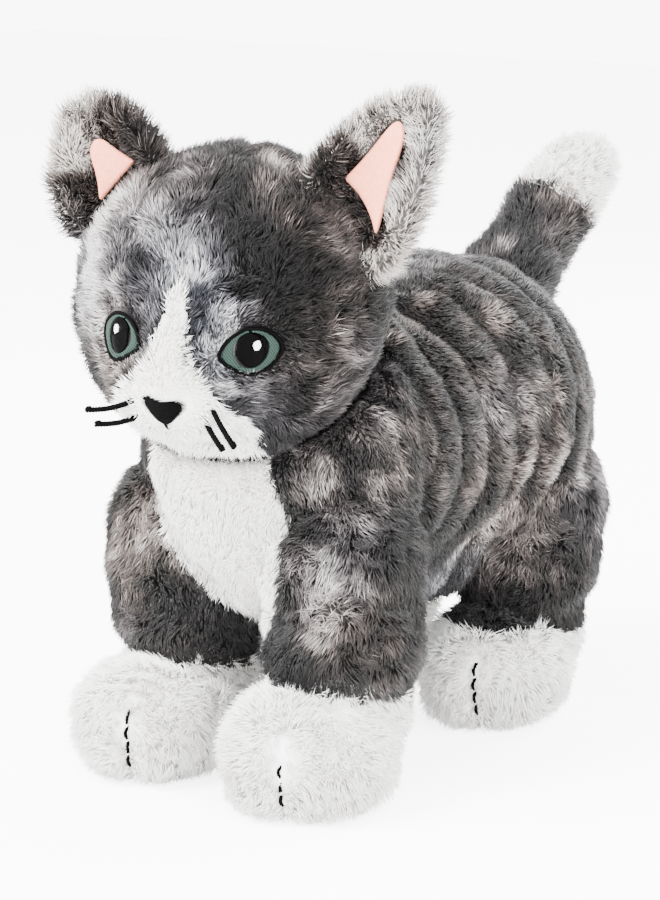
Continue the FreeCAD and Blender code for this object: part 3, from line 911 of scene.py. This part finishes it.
# dark patches of the left ear, over its base
EAR_PATCHES = [((15, 0, 20), (8, 20, 8)), ((3, 0, 54), (8, 20, 6)), ((-12, 0, 34), (7, 20, 7))]


def ear_tone(points):
    """Light fur with a few dark patches."""
    patches = smooth(noise(points, 13.0, 61), 0.05, 0.8)
    over_base = (points - EAR_BASE["left"]) @ HEAD_AXES.T
    for place, size in EAR_PATCHES:
        patches = np.maximum(patches, smooth(bump(over_base, place, size), 0.15, 0.7))
    return 0.90 - 0.56 * patches + noise(points, 6.0, 62) * 0.08


# ---- combing
DOWN = [0.0, -0.1, -1.0]


def comb_head(points):
    return unit(points - NOSE)


def comb_flank(points):
    """Backwards over the flanks, downwards on chest and legs."""
    back = smooth(points[:, 2], 80.0, 110.0) * smooth(points[:, 1], -60.0, -30.0)
    lie = np.zeros_like(points)
    lie[:, 1] = 0.15 + 0.75 * back
    lie[:, 2] = -1.0 + 0.45 * back
    return lie


def comb_to(way):
    return lambda points: np.tile(way, (len(points), 1))


def comb_paw(leg):
    """Away from the top of the paw, and away from the line between its toes."""
    top = np.array([PAW[leg][0], PAW[leg][1] + 10.0, 64.0])
    centre, across, out = TOES[leg]

    def lie(points):
        beside = (points - centre) @ across
        away = np.sign(beside) * ridge(beside, 7.0) * smooth((points - centre) @ out, -30, -6)
        return unit(points - top) + np.outer(away * 2.2, across)
    return lie


def comb_ear(side):
    """Up the ear, and a little outwards from the middle of the pink lining."""
    centre = middle("ear_%s_lining" % side) - HEAD_Z * 6.0

    def lie(points):
        way = points - centre
        out = unit(way - np.outer(way @ HEAD_AXES[1], HEAD_AXES[1]) * 0.6)
        return out * 0.7 + HEAD_Z * 0.6
    return lie


# ---- build the panels
# How one panel is finished: its pile, combing, tone and material, and a rule for the share of the
# pile's length at each root, 0 where none grows.
Look = namedtuple("Look", "pile comb tone fur trim", defaults=[None])
WHITE_FURS = (WHITE, SMOOTH_WHITE)


class Skin:
    """A closed skin with fur roots all over it, shared out over covers by a rule."""

    def __init__(self, points, quads, rule, seed):
        self.points = points
        self.quads = quads
        self.normals = normals_of(points, quads)
        self.rng = np.random.default_rng(seed)
        self.roots, self.ups = scatter(points, self.normals, quads, THICKEST, self.rng)
        self.centres = points[quads].mean(1)
        self.face_owner = rule(self.centres)
        self.root_owner = rule(self.roots)

    def cloth(self, name, node, faces, tone, tint, material, slot):
        """Backing cloth of the picked faces."""
        points, quads = thick_sheet(self.points, self.normals, self.quads[faces])
        made = piece(name, points, quads, material, tone=tone(points), tint=tint(points))
        count = len(quads)
        atlas(made.data, count, np.repeat(np.arange(count), 4), np.tile(CELL_SPOTS, (count, 1)))
        return stands_for(made, node)

    def panel(self, name, node, look, faces, roots, seed):
        """Cloth and pile pieces of the picked faces and roots."""
        white = look.fur in WHITE_FURS
        slot = "white_plush" if white else "grey_plush"
        cloth = self.cloth(name + "_cloth", node, faces, look.tone, tint_of,
                           WHITE_CLOTH if white else GREY_CLOTH, slot)
        roots = roots & (self.rng.random(len(roots)) < look.pile.density / THICKEST)
        places, ups = self.roots[roots], self.ups[roots]
        length = np.full(len(places), look.pile.length)
        if look.trim is not None:
            share = look.trim(places)
            places, ups, length = places[share > 0], ups[share > 0], (length * share)[share > 0]
        rng = np.random.default_rng(seed)
        strands = grow(places, ups, look.comb(places), look.pile, length, rng, seed)
        # random tone for each strand: strands that differ at random, and also painted glints on the pile
        tone = np.clip(look.tone(places) + rng.normal(size=len(places)) * 0.12, 0.01, 1)
        pile = pile_objects(name + "_pile", strands, tone, tint_of(places), look.fur)
        return [cloth] + pile


STITCHED = ["nose_embroidery"] + ["eye_%s_outline" % side for side in SIDES]
STITCHED += ["eye_%s_%s" % (side, part) for side in SIDES for part in ("iris", "pupil")]


def face_trim():
    """Keeps the pile off the embroidery and short round it."""
    tree = cover_tree(STITCHED)[0]

    def share(points):
        beside = np.full(len(points), 99.0)
        ahead = (points - HEAD_CENTRE) @ HEAD_AXES[1] < -30.0
        for index in np.nonzero(ahead)[0].tolist():
            place = points[index].tolist()
            out = unit(points[index] - HEAD_CENTRE)
            near, _, _, far = tree.find_nearest(place)
            rise = float(np.dot(np.array(near) - points[index], out))
            covered = tree.ray_cast(place, out.tolist(), 14.0)[0] is not None
            beside[index] = 0.0 if covered else math.sqrt(max(far * far - rise * rise, 0.0))
        return np.where(beside < 0.9, 0.0, 0.30 + 0.70 * smooth(beside, 0.9, 9.0))
    return share


NECK_CLEAR = 11.0  # head and body cloth closer than this get shorter pile


def neck_trim(tree):
    """Short pile where head and body lie against each other, full pile a finger away."""
    def share(points):
        gap = np.full(len(points), NECK_CLEAR)
        near = np.linalg.norm(points - HEAD_CENTRE, axis=1) < 100.0
        for index in np.nonzero(near)[0].tolist():
            found = tree.find_nearest(points[index].tolist(), NECK_CLEAR)[3]
            gap[index] = NECK_CLEAR if found is None else found
        return 0.35 + 0.65 * smooth(gap, 3.0, NECK_CLEAR)
    return share


def paw_trim(points):
    """None right on the stitched line, short beside it."""
    share = 1.0 - np.minimum(toe_line(points, 5.0), 1.0)
    return np.where(share < 0.12, 0.0, 0.15 + 0.85 * share)


def ride_all(pieces, body):
    for part in pieces:
        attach(part, body)


def blend_all(pieces, still, moving, start, end):
    for part in pieces:
        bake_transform(part)


def bend_leg(pieces, leg):
    """Bakes the pieces in place; the belly line and the leg below it are passed on, but the cloth does not
    bend with the leg.
    """
    start = np.array([*HIP[leg][:2], LEG_BEND_TOP])
    blend_all(pieces, "torso", "leg_" + leg, start, start - [0, 0, LEG_BEND_LENGTH])


HEAD_POINTS, HEAD_QUADS = sewn_skin(HEAD_FILLINGS, 4.0, head_seams, shape_head)
HEAD_TREE = BVHTree.FromPolygons(HEAD_POINTS.tolist(), HEAD_QUADS.tolist())
BODY_POINTS, BODY_QUADS = sewn_skin(BODY_FILLINGS, MELT, body_seams, shape_body)
BODY_TREE = BVHTree.FromPolygons(BODY_POINTS.tolist(), BODY_QUADS.tolist())


def build_head():
    skin = Skin(HEAD_POINTS, HEAD_QUADS, head_owner, 300)
    face, neck = face_trim(), neck_trim(BODY_TREE)
    grey = Look(FACE, comb_head, head_tone, GREY_FACE, lambda points: face(points) * neck(points))
    looks = {"face_blaze": grey._replace(pile=MUZZLE, tone=white_tone, fur=SMOOTH_WHITE)}
    for index, node in enumerate(HEAD_COVERS):
        faces, roots = skin.face_owner == index, skin.root_owner == index
        ride_all(skin.panel(node, node, looks.get(node, grey), faces, roots, 310 + index), "head")


def body_looks():
    """How each panel of the body is finished, apart from the soles."""
    neck = neck_trim(HEAD_TREE)
    grey = Look(FLANK, comb_flank, body_tone, GREY_BODY, neck)
    looks = {"torso_cover_left": grey, "torso_cover_right": grey, "belly_panel": grey._replace(trim=None),
             "chest_bib": Look(BIB, comb_to(DOWN), white_tone, SMOOTH_WHITE, neck),
             "tail_cover": Look(TAIL, comb_to(TAIL_ALONG), tail_tone, GREY_BODY),
             "tail_tip_cover": Look(LONG, comb_to(TAIL_ALONG), white_tone, WHITE)}
    for leg in LEGS:
        looks["leg_%s_cover" % leg] = Look(LEG, comb_to(DOWN), body_tone, GREY_BODY, neck)
        looks["paw_%s_cover" % leg] = Look(LONG, comb_paw(leg), white_tone, WHITE, paw_trim)
    return looks


TAIL_CUTS = (-999.0, 10.0, 26.0, 999.0)  # along the tail, between its three rings
TAIL_BODIES = ("torso", "tail_root", "tail")
TAIL_STILL_END = -8.0  # start of the tail's bend, passed on but not used


def build_tail_panel(skin, node, look, mine_faces, mine_roots, seed):
    """Tail cloth in three rings: two baked in place at the root's two turns and one that rides with the
    tail.
    """
    face_place = (skin.centres - TAIL_ROOT) @ TAIL_ALONG
    root_place = (skin.roots - TAIL_ROOT) @ TAIL_ALONG
    for number, ring in enumerate(("base", "bend", "end")):
        low, high = TAIL_CUTS[number:number + 2]
        faces = mine_faces & (face_place >= low) & (face_place < high)
        roots = mine_roots & (root_place >= low) & (root_place < high)
        if not faces.any():
            continue
        pieces = skin.panel("%s_%s" % (node, ring), node, look, faces, roots, seed + number)
        if ring == "end":
            ride_all(pieces, "tail")
        else:
            blend_all(pieces, *TAIL_BODIES[number:number + 2],
                      TAIL_ROOT + TAIL_ALONG * max(low, TAIL_STILL_END), TAIL_ROOT + TAIL_ALONG * high)


def build_sole(skin, node, faces):
    """Smooth fleece sole without pile."""
    sole = skin.cloth(node + "_fleece", node, faces, no_tone, no_tone, PINK, "pink_fleece")
    bend_leg([sole], leg_of(node))


def build_body():
    skin = Skin(BODY_POINTS, BODY_QUADS, body_owner, 400)
    looks = body_looks()
    for index, node in enumerate(BODY_COVERS):
        faces = skin.face_owner == index
        if node.endswith("_sole"):
            build_sole(skin, node, faces)
            continue
        roots = skin.root_owner == index
        if node.startswith("tail"):
            build_tail_panel(skin, node, looks[node], faces, roots, 400 + index * 10)
            continue
        pieces = skin.panel(node, node, looks[node], faces, roots, 400 + index * 10)
        if leg_of(node):
            bend_leg(pieces, leg_of(node))
        else:
            ride_all(pieces, "torso")


# ---- ears
EAR_HIGHER = {"left": 1.34, "right": 0.92}  # each sewn ear against its stiff pattern
EAR_LEAN = {"left": -0.30, "right": 0.10}  # sideways over each millimetre of height
LINING_LEAN = {"left": -0.32, "right": -0.20}
LINING_INWARD = {"left": 0.0, "right": 5.5}  # the pink lies this far beside the ear's middle
EAR_NARROWER = 0.88
EAR_TIP_TAPER = 0.34  # how much narrower still its tip is
LINING_GAIN = {"left": 0.90, "right": 0.78}
LINING_RISE = {"left": 4.0, "right": 3.0}
LINING_LIFT = 0.8


def point_ear(points, side, lean):
    """The ear's pattern drawn up into a blunt point, and left narrower to make room for the fur."""
    up = unit(EAR_BASE[side] - HEAD_CENTRE)
    across = unit(np.cross(HEAD_AXES[1], up))
    local = points - EAR_BASE[side]
    height = local @ up
    width = local @ across
    depth = local @ HEAD_AXES[1]
    width = width * (EAR_NARROWER - EAR_TIP_TAPER * smooth(height, 8.0, 52.0))
    height = np.where(height > 0, height * EAR_HIGHER[side], height)
    width = width + lean * np.maximum(height, 0)
    return EAR_BASE[side] + np.outer(height, up) + np.outer(width, across) + np.outer(depth, HEAD_AXES[1])


def build_ear(side):
    back = "ear_%s_back" % side
    lining = "ear_%s_lining" % side
    points, quads = ear_skin(side)
    points = point_ear(points, side, EAR_LEAN[side])
    low, high = low_high(lining)
    field = Field(low - 2.0, high + 2.0, 0.8, 4.0)
    pad, pad_quads = field.to_quads(soften(field.of_node(lining) - 0.3, 2))
    centre = pad.mean(0)
    pad = centre + (pad - centre) * LINING_GAIN[side] + HEAD_Z * LINING_RISE[side]
    pad = point_ear(pad, side, LINING_LEAN[side]) - HEAD_Y * LINING_LIFT + HEAD_X * LINING_INWARD[side]
    pink = stands_for(piece(lining + "_fleece", pad, pad_quads, PINK), lining)
    tree = BVHTree.FromPolygons(pad.tolist(), pad_quads.tolist())

    def off_lining(roots):
        gap = np.array([tree.find_nearest(root)[3] for root in roots.tolist()])
        return np.where(gap < 1.6, 0.0, 0.5 + 0.5 * smooth(gap, 1.6, 9.0))

    skin = Skin(points, quads, lambda places: np.zeros(len(places), int), 500)
    look = Look(EAR, comb_ear(side), ear_tone, GREY_EAR, off_lining)
    everywhere = np.ones(len(quads), bool)
    pieces = skin.panel(back, back, look, everywhere, np.ones(len(skin.roots), bool), 510)
    up = unit(EAR_BASE[side] - HEAD_CENTRE)
    blend_all(pieces + [pink], "head", "ear_" + side, EAR_BASE[side] - up * 8, EAR_BASE[side] + up * 4)


# ---- stitched thread
def beside_path(path, radius, turn):
    """Points at radius from each point of a path, turned round it by turn."""
    along = unit(np.gradient(path, axis=0))
    across = unit(np.cross(along, [0.31, 0.52, 0.79]))
    return path + (across * np.cos(turn) + np.cross(along, across) * np.sin(turn)) * radius


def tube(path, radius, sides=6):
    """Closed thread along path: rings with pointed ends."""
    turns = 2 * math.pi * np.arange(sides) / sides
    rings = beside_path(path, radius, turns[:, None, None]).swapaxes(0, 1)[1:-1]
    points = np.concatenate([path[:1], rings.reshape(-1, 3), path[-1:]])
    last = 1 + (len(rings) - 1) * sides
    faces = []
    for s in range(sides):
        n = (s + 1) % sides
        faces.append((0, 1 + n, 1 + s))
        for a in range(1, last, sides):
            b = a + sides
            faces += [(a + s, a + n, b + n), (a + s, b + n, b + s)]
        faces.append((last + s, last + n, len(points) - 1))
    return points, np.array(faces)


def twisted(path, radius, turns_per_mm=0.45):
    """Two plies wound round each other along a path."""
    length = np.concatenate([[0], np.cumsum(np.linalg.norm(np.diff(path, axis=0), axis=1))])
    turn = length[:, None] * turns_per_mm * 2 * math.pi
    return [tube(beside_path(path, radius * 0.5, start + turn), radius * 0.62) for start in (0.0, math.pi)]


def join_threads(name, threads, material, node):
    """All threads of one area as one piece that stands for its CAD node."""
    return stands_for(piece(name, *joined(threads), material), node)


STITCH_LIFT = 1.0  # how far the middle of the stitches lies over the cloth
STITCH_RADIUS = 0.34


def stitch(run, out, radius, crown):
    """One satin stitch over a run of surface points, arched by crown."""
    steps = np.linspace(0, len(run) - 1, 7)
    path = np.stack([np.interp(steps, np.arange(len(run)), run[:, k]) for k in range(3)], 1)
    arch = np.sin(np.linspace(0, math.pi, 7)) * crown
    return tube(path + out * (arch[:, None] - 0.15), radius)


def straight_lines(pitch=0.5, slant=0.12):
    """Parallel scan lines of an area: start, way, and first, last and step of the places on it."""
    return [((0, v), (1, slant), (-16, 16, 0.2)) for v in np.arange(-16, 16, pitch)]


def round_lines(count):
    """Scan lines that run out from a centre, as round an eye."""
    turns = [2 * math.pi * k / count for k in range(count)]
    return [((0, 0), (math.cos(turn), math.sin(turn)), (2.0, 17.0, 0.15)) for turn in turns]


def embroider(node, name, lines, material, centre_node=None, radius=STITCH_RADIUS, crown=0.5):
    """An area of the face scanned in its own flat frame, with a stitch on the cloth over every run."""
    tree = cover_tree([node])[0]
    centre_node = centre_node or node
    centre = embroidered(centre_node, middle(centre_node)[None])[0]
    out = unit(centre - HEAD_CENTRE)
    across = unit(np.cross(out, -HEAD_Z))
    up = np.cross(out, across)

    def hit(u, v):
        """Point on the cloth under flat place (u, v), or None beside the area."""
        start = centre + across * u + up * v + out * 15
        ray = start.tolist(), (-out).tolist()
        if tree.ray_cast(*ray, 30.0)[0] is None:
            return None
        return np.array(HEAD_TREE.ray_cast(*ray, 40.0)[0]) + out * STITCH_LIFT

    threads = []
    for (u, v), (u_way, v_way), steps in lines:
        hits = [hit(u + t * u_way, v + t * v_way) for t in np.arange(*steps)]
        for inside, run in groupby(hits, key=lambda point: point is not None):
            run = list(run)
            if inside and len(run) > 3:
                threads.append(stitch(np.array(run), out, radius, crown))
    return join_threads(name, threads, material, node)


# part of an eye, its scan lines, thread and slot, the part whose middle they run from, thickness, crown
EYE_PARTS = (
    ("outline", round_lines(170), BLACK_THREAD, "black_thread", "pupil", 0.36, 0.45),
    ("iris", round_lines(130), IRIS_THREAD, "green_thread", "pupil", 0.36, 0.25),
    ("pupil", straight_lines(slant=0.5), BLACK_THREAD, "black_thread", "pupil", STITCH_RADIUS, 0.5),
    ("highlight", straight_lines(), WHITE_THREAD, "white_thread", "highlight", STITCH_RADIUS, 0.5))


def build_face():
    made = [embroider("nose_embroidery", "nose_stitches", straight_lines(), BLACK_THREAD),
            embroider("mouth_stitch", "mouth_thread", straight_lines(0.6), BLACK_THREAD)]
    for side in SIDES:
        for part, lines, thread, slot, centre, radius, crown in EYE_PARTS:
            node = "eye_%s_%s" % (side, part)
            made.append(embroider(node, node + "_stitches", lines, thread,
                                  "eye_%s_%s" % (side, centre), radius, crown))
    ride_all(made, "head")


def islands(node):
    """Point sets of the separate solids of a node."""
    points, triangles = node_mesh(node)
    places, number = np.unique(np.round(points, 3), axis=0, return_inverse=True)
    number = number.ravel()
    first = np.arange(len(places))
    before = None
    while not np.array_equal(first, before):
        before = first.copy()
        np.minimum.at(first, number[triangles], first[number[triangles]].min(1, keepdims=True))
    return [points[first[number] == start] for start in np.unique(first)]


WHISKER_RADIUS = 1.1
WHISKER_SHIFT = {"left": (-2.5, 0.0, 6.5), "right": (4.0, 0.0, 1.0)}  # in the head's own frame


def whisker(points):
    """One whisker along a solid's points: two plies that sag a little, and a knot at the far end."""
    centre = points.mean(0)
    along = np.linalg.svd(points - centre, full_matrices=False)[2][0]
    reach = (points - centre) @ along
    ends = [centre + along * reach.min(), centre + along * reach.max()]
    near, far = sorted(ends, key=lambda end: np.linalg.norm(end - NOSE))
    start = near + (near - far) * 0.16
    t = np.linspace(0, 1, 70)[:, None]
    path = start + (far - start) * t - np.sin(t * math.pi) * [0, 0, 1.2]
    forward = unit(far - start)
    beside = unit(np.cross(forward, [0, 0, 1]))
    turn = np.linspace(0, 4 * math.pi, 40)
    knot = far - forward * 1.2 + np.outer(np.linspace(-0.9, 0.9, 40), forward)
    knot += (np.outer(np.cos(turn), beside) + np.outer(np.sin(turn), np.cross(beside, forward))) * 0.7
    return twisted(path, WHISKER_RADIUS) + [tube(knot, 0.65)]


def build_whiskers():
    for side in SIDES:
        node = "whiskers_" + side
        threads = []
        for points in islands(node):
            threads += whisker(points + WHISKER_SHIFT[side] @ HEAD_AXES)
        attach(join_threads(node + "_thread", threads, BLACK_THREAD, node), "head")


DASHES = 4


def build_toes():
    """A dashed running stitch laid in the groove between the toes."""
    for leg in LEGS:
        node = TOE_NODE + leg
        low, high = low_high(node)
        centre, across, out = TOES[leg]
        dash = (high[2] - low[2]) / DASHES
        threads = []
        for number in range(DASHES):
            bottom = low[2] + number * dash
            path = []
            for z in np.linspace(bottom, bottom + dash - 1.2, 11):
                start = centre * [1, 1, 0] + [0, 0, z] + out * 40.0
                found = BODY_TREE.ray_cast(start.tolist(), (-out).tolist(), 90.0)[0]
                path.append(np.array(found) + across * 0.4 * math.sin(z) + out * 3.2)
            path = np.array(path)
            path[[0, -1]] -= out * 1.8
            threads += twisted(path, 0.85)
        bend_leg([join_threads(node + "_thread", threads, BLACK_THREAD, node)], leg)


# ---- filling
FILLINGS = {"torso_stuffing": "torso", "neck_stuffing": "neck", "head_stuffing": "head",
            "tail_root_stuffing": "tail_root", "tail_stuffing": "tail"}


def build_filling(node):
    """Lumpy fibre mass a little inside the CAD filling."""
    field = Field(*low_high(node), 4.0, 12.0)
    points, quads = field.to_quads(field.of_node(node) + 2.5)
    lumps = np.minimum(noise(points, 9.0, 31) * 0.5 - 0.4, 0.6)
    points = points + normals_of(points, quads) * lumps[:, None]
    made = piece(node.replace("stuffing", "fibre"), points, quads, FIBRE)
    return stands_for(made, node)


def build_fillings():
    for node, body in FILLINGS.items():
        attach(build_filling(node), body)
    for leg in LEGS:
        bend_leg([build_filling("leg_%s_stuffing" % leg)], leg)


build_head()
build_body()
for ear_side in SIDES:
    build_ear(ear_side)
build_face()
build_whiskers()
build_toes()
build_fillings()

# ---- studio
CAMERA_AZIMUTH = math.radians(36.0)
CAMERA_RISE = math.radians(12.0)
CAMERA_DISTANCE = 1150.0
CAMERA_HEIGHT = 140.0
AIM_BEHIND = 8.67  # the camera looks this far behind the middle of the toy
LENS = {"sensor_fit": "VERTICAL", "sensor_height": 36.0, "lens": 108.0, "shift_x": -0.05, "shift_y": -0.05}
SKY_LIGHT = 3.3  # what lights the toy
SKY_SEEN = 9.0  # the white backdrop itself
FLOOR_GLOW = 5.0  # the backdrop's lit paper
FLOOR_HALF = 3000.0
LAMP_SIZE = 0.9
LAMPS = {"key": ((-500, -1100, 1100), 110.0), "fill": ((1100, -500, 700), 38.0),
         "back": ((200, 1100, 900), 38.0)}
WHITE_LIGHT = (1, 1, 1, 1)


def seen_only(tree, otherwise, seen):
    """A value that is different when the camera looks at it straight."""
    straight = add(tree, "ShaderNodeLightPath").outputs["Is Camera Ray"]
    value = add(tree, "ShaderNodeMapRange", {"Value": straight, "To Min": otherwise, "To Max": seen})
    return value.outputs["Result"]


def aimed(name, data, place, target):
    """A camera or lamp at a place, turned to a target."""
    made = add_object(name, data)
    made.location = place * MM
    made.rotation_euler = Vector(target - place).to_track_quat("-Z", "Y").to_euler()
    return made


def build_floor():
    """Pale paper that glows a little to the camera only."""
    made, tree = new_material("floor")
    cloud = add(tree, "ShaderNodeTexNoise", {"Scale": 3.0}).outputs["Fac"]
    finish(made, ramp(tree, cloud, [(0.0, "f6f6f5"), (1.0, "fafaf9")]), 0.9)
    plug(tree.nodes["Principled BSDF"], {"Emission Color": WHITE_LIGHT,
                                         "Emission Strength": seen_only(tree, 0.0, FLOOR_GLOW)})
    corners = [(x * FLOOR_HALF, y * FLOOR_HALF, -0.5) for x, y in ((-1, -1), (1, -1), (1, 1), (-1, 1))]
    piece("floor", corners, [(0, 1, 2, 3)], made)


def studio():
    """Camera, white sky, floor and three soft lamps."""
    scene = bpy.context.scene
    middle_y = (CAD_BOX[0][1] + CAD_BOX[1][1]) / 2 * 1000
    target = np.array([SPINE_X, middle_y + AIM_BEHIND, CAMERA_HEIGHT])
    level = math.cos(CAMERA_RISE)
    back = np.array([math.sin(CAMERA_AZIMUTH) * level, -math.cos(CAMERA_AZIMUTH) * level,
                     math.sin(CAMERA_RISE)])
    lens = bpy.data.cameras.new("camera")
    set_all(lens, LENS)
    scene.camera = aimed("camera", lens, target + back * CAMERA_DISTANCE, target)
    world = bpy.data.worlds.new("studio")
    world.use_nodes = True
    tree = world.node_tree
    plug(tree.nodes["Background"], {"Color": WHITE_LIGHT,
                                    "Strength": seen_only(tree, SKY_LIGHT, SKY_SEEN)})
    scene.world = world
    build_floor()
    for name, (place, power) in LAMPS.items():
        light = bpy.data.lights.new(name, "AREA")
        set_all(light, {"energy": power, "size": LAMP_SIZE})
        aimed(name, light, np.array(place), target)


studio()
